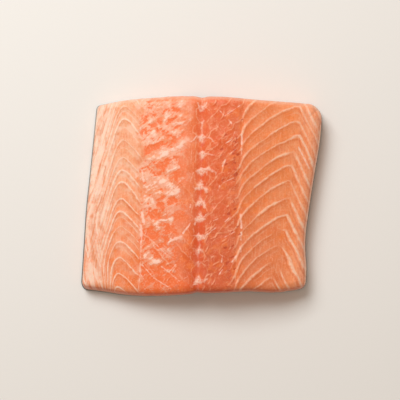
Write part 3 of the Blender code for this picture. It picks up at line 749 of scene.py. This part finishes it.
# How the muscle's pattern is worked out: a name, what is done, and to what, as numbers or as the names of
# fields, noises and earlier steps. "step" is a smooth step between two values, with its results at both.
# "ragged" is a step over a field whose edge is frayed by crumbs, times the number after the field
MUSCLE_STEPS = (
    # Pale sheets between flakes: distance to the nearest whole phase, against half the sheet's width
    ("bend", "MULTIPLY_ADD", "clumps", 0.14, "flake"),
    ("shake", "MULTIPLY_ADD", "crumbs", 0.07, "bend"),
    ("phase", "ADD", "shake", -0.10),
    ("away", "PINGPONG", "phase", 0.5),
    ("share", "DIVIDE", "away", "half"),
    ("sharp", "step", "share", 0.25, 1.15, 1.0, 0.0),
    ("worn", "step", "crumbs", 0.32, 0.62, 0.45, 1.0),
    ("lit", "MULTIPLY", "sharp", "bright"),
    ("line", "MULTIPLY", "lit", "worn"),
    ("signed", "WRAP", "phase", 0.5, -0.5),
    ("side", "DIVIDE", "signed", "half"),
    ("beside", "ADD", "side", 1.9),
    ("off", "ABSOLUTE", "beside"),
    ("dark", "step", "off", 0.0, 0.9, 0.45, 0.0),
    ("shade", "MULTIPLY", "dark", "bright"),
    # Finer lines between the sheets, and the creamy flesh under each arch of the belly
    ("second", "ADD", "phase", 0.42),
    ("second_away", "PINGPONG", "second", 0.5),
    ("second_share", "DIVIDE", "second_away", "half"),
    ("thin", "step", "second_share", 0.1, 0.9, 0.6, 0.0),
    ("fine_lines", "MULTIPLY", "thin", "fine"),
    ("creamy", "step", "clumps", 0.3, 0.62, 0.0, 0.62),
    ("cream_bands", "MULTIPLY", "cream", "creamy"),
    # Torn lining: pale scraps where the field is high, bare flesh where it is low, and a haze over both
    ("shredded", "MULTIPLY_ADD", "shreds", 1.45, "torn"),
    ("crumbled", "MULTIPLY_ADD", "crumbs", 0.75, "shredded"),
    ("torn_edge", "MULTIPLY_ADD", "front", -0.16, "crumbled"),
    ("pale", "step", "torn_edge", 1.67, 2.05, 0.0, 0.85),
    ("scraps", "MULTIPLY", "pale", "lining"),
    ("open_flesh", "step", "torn_edge", 1.53, 1.36, 0.0, 0.95),
    ("bare", "MULTIPLY", "open_flesh", "lining"),
    ("hazy", "step", "folds", 0.3, 0.65, 0.10, 0.44),
    ("to_front", "MULTIPLY_ADD", "front", -0.45, 1.0),
    ("veiled", "MULTIPLY", "hazy", "to_front"),
    ("haze", "MULTIPLY", "veiled", "lining"),
    # Thin ragged walls of fat round the bundles of muscle, and short bent threads with their shade
    ("bundle_wall", "step", "bundles", 0.02, 0.11, 0.20, 0.0),
    ("kept", "step", "clumps", 0.44, 0.60, 0.1, 1.0),
    ("zone", "MULTIPLY_ADD", "lining", 0.45, "inner"),
    ("broken", "MULTIPLY", "bundle_wall", "kept"),
    ("veins", "MULTIPLY", "broken", "zone"),
    ("threads", "ragged", "hook", 0.9, 0.80, 1.35, 0.0, 0.60),
    ("thread_shades", "ragged", "hook_shade", 0.9, 0.85, 1.35, 0.0, 0.42),
    # Arcs beside the seam, and the redder flesh inside them
    ("arc_off", "ADD", "crumbs", "cell"),
    ("arc_mid", "ADD", "arc_off", -0.5),
    ("arc_away", "ABSOLUTE", "arc_mid"),
    ("arc", "step", "arc_away", 0.15, 0.75, 0.34, 0.0),
    ("arc_kept", "step", "clumps", 0.42, 0.60, 0.1, 1.0),
    ("arcs", "MULTIPLY", "arc", "arc_kept"),
    ("in_cell", "step", "cell", 0.5, -2.2, 0.0, 0.24),
    # Marks of the backbone, gaps, smears and pits, all ragged at the edge
    ("mark_cover", "ragged", "mark", 1.0, 0.12, 0.90, 0.0, 0.95),
    ("mark_grain", "step", "specks", 0.34, 0.56, 0.40, 1.0),
    ("marks", "MULTIPLY", "mark_cover", "mark_grain"),
    ("gaps", "ragged", "gap", 1.6, 1.15, 1.85, 0.0, 0.62),
    ("smears", "ragged", "smear", 0.9, 0.86, 1.30, 0.0, 0.72),
    ("pits", "ragged", "pit", 1.7, 1.28, 1.66, 0.0, 0.78),
    # Streaks of fat in the belly's edge, and darker dashes between them
    ("fat_streak", "ragged", "streak", 0.5, 0.22, 0.55, 0.0, 0.65),
    ("streaks", "MULTIPLY", "fat_streak", "edge"),
    ("dash", "ragged", "streak", 0.5, 0.10, -0.22, 0.0, 0.85),
    ("dashes", "MULTIPLY", "dash", "edge"),
    # Along the back a thin pale edge of fat with a darker line inside it
    ("inside", "step", "from_back", 0.7, 1.2, 0.0, 1.0),
    ("outside", "step", "from_back", 2.4, 1.5, 0.0, 0.22),
    ("back_line", "MULTIPLY", "inside", "outside"),
    ("back_edge", "ragged", "from_back", 1.2, 2.0, 0.9, 0.0, 0.70),
    # A milky film on the rear cut's rim, and painted shade on the front cut's rim, which faces away from the
    # light
    # The rear cut's rim faces the light: its milky film is partly real and partly a painted highlight on that
    # rim
    ("rear_film_and_highlight", "step", "from_rear", 2.8, 0.8, 0.0, 0.42),
    ("front_rim_shade", "step", "from_front", 2.0, 0.3, 0.0, 0.44),
    # On the cuts the brown muscle lies by the skin under the seam, fat about 1 mm thick on all the skin, and
    # a film over the rest
    ("brown_muscle", "ragged", "brown", 0.3, 0.2, 0.6, 0.0, 0.85),
    ("under_fat", "ragged", "low", -1.2, -0.2, 0.3, 0.7, 0.0),
    ("cut_film", "step", "folds", 0.3, 0.7, 0.34, 0.52),
    ("milky", "MULTIPLY", "cut_film", "wall"),
    # Unevenness of the muscle, from folds down to fibres
    ("fold_pale", "step", "folds", 0.35, 0.7, 0.0, 0.14),
    ("bright_patch", "step", "patches", 0.50, 0.70, 0.0, 0.50),
    ("sunk", "step", "patches", 0.47, 0.28, 0.0, 0.40),
    ("speck_pale", "step", "specks", 0.52, 0.72, 0.0, 0.24),
    ("speck_dark", "step", "specks", 0.48, 0.28, 0.0, 0.34),
    ("fibre_dark", "step", "fibres", 0.42, 0.75, 0.0, 0.30),
    ("fibre_pale", "step", "fibres", 0.46, 0.26, 0.0, 0.22),
    # Height of the fine relief: fibres, sheets, scraps, threads and grain
    ("with_lines", "MULTIPLY_ADD", "line", 0.5, "fibres"),
    ("with_scraps", "MULTIPLY_ADD", "scraps", 0.8, "with_lines"),
    ("with_threads", "MULTIPLY_ADD", "threads", 0.4, "with_scraps"),
    ("height", "MULTIPLY_ADD", "grain", 0.5, "with_threads"),
)
# From the flesh upwards: how much of each colour covers what lies under it
MUSCLE_LAYERS = (
    ("front", "front_flesh"), ("bright_patch", "glow"), ("sunk", "deep"), ("fold_pale", "fat"),
    ("fibre_dark", "deep"), ("fibre_pale", "fat"), ("milky", "milky_film_and_highlight"), ("haze", "lining"), ("bare", "bare"),
    ("speck_dark", "deep"), ("speck_pale", "fat"), ("shade", "deep"), ("cream_bands", "fat"),
    ("streaks", "fat"), ("dashes", "dashes"), ("fine_lines", "fat"), ("in_cell", "gaps"), ("line", "fat"),
    ("scraps", "lining"), ("veins", "fat"), ("thread_shades", "pits"), ("threads", "fat"), ("arcs", "fat"),
    ("smears", "lining"), ("marks", "marks"), ("gaps", "gaps"), ("pits", "pits"), ("back_line", "pits"),
    ("back_edge", "fat"), ("rear_film_and_highlight", "milky_film_and_highlight"), ("front_rim_shade", "pits"), ("brown_muscle", "brown"),
    ("under_fat", "under_fat"),
)


def raw_salmon(colours):
    """Raw salmon muscle, cut and moist: light sinks into it, pale fat sheets cross it, and it shines softly."""
    made, tree, shader = new_material("raw_salmon_muscle", MUSCLE_FINISH)
    place = add(tree, "TexCoord", out="Object")
    known = {name: add(tree, "Attribute", out="Fac", attribute_name=name) for name in MUSCLE_FIELDS}
    for name, (scale, detail, rough) in MUSCLE_NOISES.items():
        inputs = {"Vector": place, "Scale": scale, "Detail": detail, "Roughness": rough}
        known[name] = add(tree, "TexNoise", inputs)
    # Muscle fibres along the fish, 0.8 mm wide and 5 mm long
    inputs = {"Vector": place, "Scale": (0.0008, 0.005, 0.0012)}
    drawn_out = add(tree, "Mapping", inputs, vector_type="TEXTURE")
    inputs = {"Vector": drawn_out, "Scale": 1.0, "Detail": 2.0, "Roughness": 0.5}
    known["fibres"] = add(tree, "TexNoise", inputs)
    # Shreds of lining, 4.2 mm long and 1.4 mm wide, drawn out up and to the right
    inputs = {"Vector": place, "Rotation": (0, 0, 0.55), "Scale": (0.0042, 0.0014, 0.003)}
    drawn_out = add(tree, "Mapping", inputs, vector_type="TEXTURE")
    inputs = {"Vector": drawn_out, "Scale": 1.0, "Detail": 3.0, "Roughness": 0.6, "Distortion": 0.4}
    known["shreds"] = add(tree, "TexNoise", inputs)
    # Bundles of muscle, 5 mm across, with crooked walls
    wobble = add(tree, "TexNoise", {"Vector": place, "Scale": 380.0, "Detail": 2.0}, out="Color")
    crooked = add(tree, "VectorMath", (wobble, (0.005, 0.005, 0.005), place), operation="MULTIPLY_ADD")
    inputs = {"Vector": crooked, "Scale": 190.0}
    known["bundles"] = add(tree, "TexVoronoi", inputs, feature="DISTANCE_TO_EDGE")

    for name, kind, *inputs in MUSCLE_STEPS:
        inputs = [known.get(value, value) for value in inputs]
        if kind == "ragged":
            field, coarse, *inputs = inputs
            frayed = add(tree, "Math", (known["crumbs"], coarse, field), operation="MULTIPLY_ADD")
            inputs = [frayed, *inputs]
        if kind in ("step", "ragged"):
            known[name] = add(tree, "MapRange", inputs, interpolation_type="SMOOTHSTEP")
        else:
            known[name] = add(tree, "Math", inputs, operation=kind)

    paints = {name: getattr(colours, name) for name in colours.__annotations__}
    ramps = {"fat": FAT_STOPS}
    ramps["rear_flesh"] = [(at, rear) for at, rear, _ in FLESH_STOPS]
    ramps["front_flesh"] = [(at, front) for at, _, front in FLESH_STOPS]
    for name, stops in ramps.items():
        paints[name] = add(tree, "ValToRGB", (known["across"],))
        fill_ramp(paints[name], stops)
    colour = paints["rear_flesh"]
    for cover, paint in MUSCLE_LAYERS:
        inputs = {0: known[cover], 6: colour, 7: paints[paint]}
        colour = add(tree, "Mix", inputs, out=2, data_type="RGBA")
    tree.links.new(colour, shader.inputs["Base Color"])

    rough = add(tree, "MapRange", (known["crumbs"], 0.3, 0.7, 0.38, 0.54))
    tree.links.new(rough, shader.inputs["Roughness"])
    bump = add(tree, "Bump", {"Strength": 0.4, "Distance": 0.00025, "Height": known["height"]})
    tree.links.new(bump, shader.inputs["Normal"])
    return made


def salmon_skin(colours):
    """Scaled fish skin, moist: blue-grey over the back, silver at the belly, with a dark seam line between."""
    made, tree, shader = new_material("scaled_salmon_skin", SKIN_FINISH)
    place = add(tree, "TexCoord", out="Object")
    crumbs = add(tree, "TexNoise", {"Vector": place, "Scale": 220.0, "Detail": 3.0})
    grain = add(tree, "TexNoise", {"Vector": place, "Scale": 1500.0, "Detail": 2.0})
    scales = add(tree, "Attribute", out="Fac", attribute_name="scales")
    across = add(tree, "MapRange", (add(tree, "SeparateXYZ", (place,), out="X"), -0.075, 0.075))
    tone = add(tree, "ValToRGB", (across,))
    fill_ramp(tone, SKIN_STOPS)
    # Painted shade: the skin is darker at each scale's root, in the crevice under the free edge of the scale
    # that overlaps it
    shade = add(tree, "MapRange", (scales, 0.1, 1.0, 0.55, 0.0))
    colour = add(tree, "Mix", {0: shade, 6: tone, 7: colours.scale_root_shade}, out=2, data_type="RGBA")
    colour = add(tree, "Mix", {0: crumbs, 6: colour, 7: tone}, out=2, data_type="RGBA")
    tree.links.new(colour, shader.inputs["Base Color"])
    rough = add(tree, "MapRange", (grain, 0.3, 0.7, 0.24, 0.4))
    tree.links.new(rough, shader.inputs["Roughness"])
    bump = add(tree, "Bump", {"Strength": 0.3, "Distance": 0.0002, "Height": grain})
    tree.links.new(bump, shader.inputs["Normal"])
    return made


def pale_board(colour):
    """Matt painted board under soft light: even, with a trace of tooth."""
    finish = {"Base Color": colour, "Roughness": 0.85, "Specular IOR Level": 0.2}
    made, tree, shader = new_material("matt_painted_board", finish)
    place = add(tree, "TexCoord", out="Object")
    tooth = add(tree, "TexNoise", {"Vector": place, "Scale": 900.0, "Detail": 2.0})
    bump = add(tree, "Bump", {"Strength": 0.05, "Distance": 0.0002, "Height": tooth})
    tree.links.new(bump, shader.inputs["Normal"])
    return made


def colour_property(name, what, default):
    """A colour that the user can change, given as sRGB hex."""
    return bpy.props.FloatVectorProperty(
        name=name, description=what, subtype="COLOR", size=4, min=0, max=1, default=linear(default)
    )


class SalmonShape(bpy.types.PropertyGroup):
    """Sizes of the fillet that a user would change."""

    seam_depth: bpy.props.FloatProperty(
        name="Seam depth", description="Depth of the groove over the backbone", default=1.3 * MM, unit="LENGTH"
    )
    flake_relief: bpy.props.FloatProperty(
        name="Flake relief", description="Height of the ridge on each fat line", default=0.2 * MM, unit="LENGTH"
    )
    grid: bpy.props.FloatProperty(
        name="Grid", description="Spacing of the points on the upper face", default=0.5 * MM, unit="LENGTH"
    )


class SalmonColours(bpy.types.PropertyGroup):
    """Colours of the fillet that a user would change."""

    deep: colour_property("Deep flesh", "Shade beside the pale sheets and between the fibres", "#D86A3A")
    bare: colour_property("Bare flesh", "Orange flesh between scraps of lining", "#EE7038")
    lining: colour_property("Lining", "Pale scraps of the belly's lining", "#FDD2BE")
    dashes: colour_property("Dashes", "Thin dark dashes in the belly's edge", "#DE8456")
    marks: colour_property("Backbone marks", "Pale marks that the backbone leaves along the seam", "#F2BEA8")
    gaps: colour_property("Gaps", "Red flesh under each backbone mark", "#DE4C26")
    # This colour also paints the shade beside the threads and the painted shade on the front cut's rim
    pits: colour_property("Pits", "Small dark pits near the pin bones", "#BC4626")
    glow: colour_property("Glow", "Brighter patches of the muscle", "#F68440")
    # On the rear cut's rim this milky colour is partly a painted highlight, where the rim faces the light
    milky_film_and_highlight: colour_property("Film", "Milky film on the rear cut's rim", "#E4BBA4")
    brown: colour_property("Brown muscle", "Dark muscle by the skin under the seam", "#7E4630")
    under_fat: colour_property("Fat under the skin", "Layer of fat just above the skin", "#C08A68")
    # Painted shade in the crevices at the roots of the skin's scales
    scale_root_shade: colour_property("Skin", "Dark ground between the skin's scales", "#2E3436")


class SalmonStage(bpy.types.PropertyGroup):
    """The floor, light and camera."""

    floor: colour_property("Floor", "Colour of the board that the fillet lies on", "#E6E3DF")
    camera_height: bpy.props.FloatProperty(
        name="Camera height", description="Height of the camera over the floor", default=0.9, unit="LENGTH"
    )
    view_width: bpy.props.FloatProperty(
        name="View width", description="Width of the floor that the camera sees", default=0.25, unit="LENGTH"
    )
    key_power: bpy.props.FloatProperty(
        name="Key light", description="Power of the soft light from the upper left", default=16.0, unit="POWER"
    )
    fill_strength: bpy.props.FloatProperty(
        name="Fill light", description="Strength of the even light from all round", default=0.42
    )


def centre_of_cut(base):
    """The point of the plan that stands over the origin: the middle of the skin's box."""
    edge = skin_edge(base)
    return (edge.min(axis=0) + edge.max(axis=0)) / 2


def placed(points, centre):
    """Points in metres with the cut's middle over the origin."""
    return (points - np.append(centre, 0)) * MM


class SALMON_OT_flesh(bpy.types.Operator):
    """Make the flesh: a moist block of muscle in flakes, in place of the plain solid"""

    bl_idname = "salmon.flesh"
    bl_label = "Make Flesh"

    def execute(self, context):
        scene = context.scene
        points, faces, found, base = flesh_surface(scene.salmon_shape)
        muscle = raw_salmon(scene.salmon_colours)
        piece = make_piece("salmon_flesh", placed(points, centre_of_cut(base)), faces, found, muscle)
        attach(piece, "root")
        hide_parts("flesh")
        return {"FINISHED"}


class SALMON_OT_skin(bpy.types.Operator):
    """Make the skin: a thin sheet under the flesh with scales on its lower side, in place of the plain solid"""

    bl_idname = "salmon.skin"
    bl_label = "Make Skin"

    def execute(self, context):
        scene = context.scene
        base = flesh_surface(scene.salmon_shape)[3]
        points, faces = skin_surface(skin_edge(base))
        found = {"scales": scale_height(points[:, 0], points[:, 1])}
        skin = salmon_skin(scene.salmon_colours)
        piece = make_piece("salmon_skin", placed(points, centre_of_cut(base)), faces, found, skin)
        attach(piece, "root")
        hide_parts("skin")
        return {"FINISHED"}


class SALMON_OT_stage(bpy.types.Operator):
    """Make the stage: a pale floor, a soft light from the upper left, and a camera straight above"""

    bl_idname = "salmon.stage"
    bl_label = "Make Stage"

    def execute(self, context):
        scene = context.scene
        stage = scene.salmon_stage
        board = bpy.data.meshes.new("floor")
        signs = ((-1, -1), (1, -1), (1, 1), (-1, 1))
        corners = [(x * FLOOR_HALF, y * FLOOR_HALF, FLOOR_HEIGHT) for x, y in signs]
        board.from_pydata(corners, [], [(0, 1, 2, 3)])
        board.materials.append(pale_board(stage.floor))
        floor = bpy.data.objects.new("floor", board)
        scene.collection.objects.link(floor)

        # The light's own -Z axis points at the fillet
        back = np.array(LIGHT_PLACE) / np.linalg.norm(LIGHT_PLACE)
        side = np.cross([0, 0, 1], back)
        side = side / np.linalg.norm(side)
        turn = np.stack([side, np.cross(back, side), back], axis=1)
        light = bpy.data.lights.new("key", "AREA")
        light.shape = "SQUARE"
        light.size = LIGHT_SIDE
        light.energy = stage.key_power
        light.color = (0.96, 0.99, 1.0)
        key = bpy.data.objects.new("key", light)
        key.matrix_world = Matrix.Translation(LIGHT_PLACE) @ Matrix(turn.tolist()).to_4x4()
        scene.collection.objects.link(key)

        world = bpy.data.worlds.new("studio")
        world.use_nodes = True
        ground = world.node_tree.nodes["Background"]
        ground.inputs["Color"].default_value = (1.0, 0.84, 0.70, 1)
        ground.inputs["Strength"].default_value = stage.fill_strength
        scene.world = world
        scene.view_settings.view_transform = "Standard"

        centre = centre_of_cut(flesh_surface(scene.salmon_shape)[3]) * MM
        lens = bpy.data.cameras.new("camera")
        lens.sensor_width = 36
        lens.lens = 36 * stage.camera_height / stage.view_width
        camera = bpy.data.objects.new("camera", lens)
        camera.location = (-centre[0], -centre[1], stage.camera_height)
        scene.collection.objects.link(camera)
        scene.camera = camera
        return {"FINISHED"}


class SALMON_PT_panel(bpy.types.Panel):
    """Lists the fillet's sizes and colours, and the steps that make it"""

    bl_label = "Raw Salmon Fillet"
    bl_idname = "SALMON_PT_panel"
    bl_space_type = "VIEW_3D"
    bl_region_type = "UI"
    bl_category = "Salmon"

    def draw(self, context):
        for group, made in GROUPS.items():
            for name in made.__annotations__:
                self.layout.prop(getattr(context.scene, group), name)
        for step in STEPS:
            self.layout.operator(step)


GROUPS = {"salmon_shape": SalmonShape, "salmon_colours": SalmonColours, "salmon_stage": SalmonStage}
OPERATORS = (SALMON_OT_flesh, SALMON_OT_skin, SALMON_OT_stage)
STEPS = tuple(made.bl_idname for made in OPERATORS)


def register():
    for made in (*GROUPS.values(), *OPERATORS, SALMON_PT_panel):
        bpy.utils.register_class(made)
    for name, made in GROUPS.items():
        setattr(bpy.types.Scene, name, bpy.props.PointerProperty(type=made))


def unregister():
    for name in GROUPS:
        delattr(bpy.types.Scene, name)
    for made in reversed((*GROUPS.values(), *OPERATORS, SALMON_PT_panel)):
        bpy.utils.unregister_class(made)


def main():
    register()
    bpy.ops.salmon.flesh()
    bpy.ops.salmon.skin()
    bpy.ops.salmon.stage()


if __name__ == "__main__":
    main()
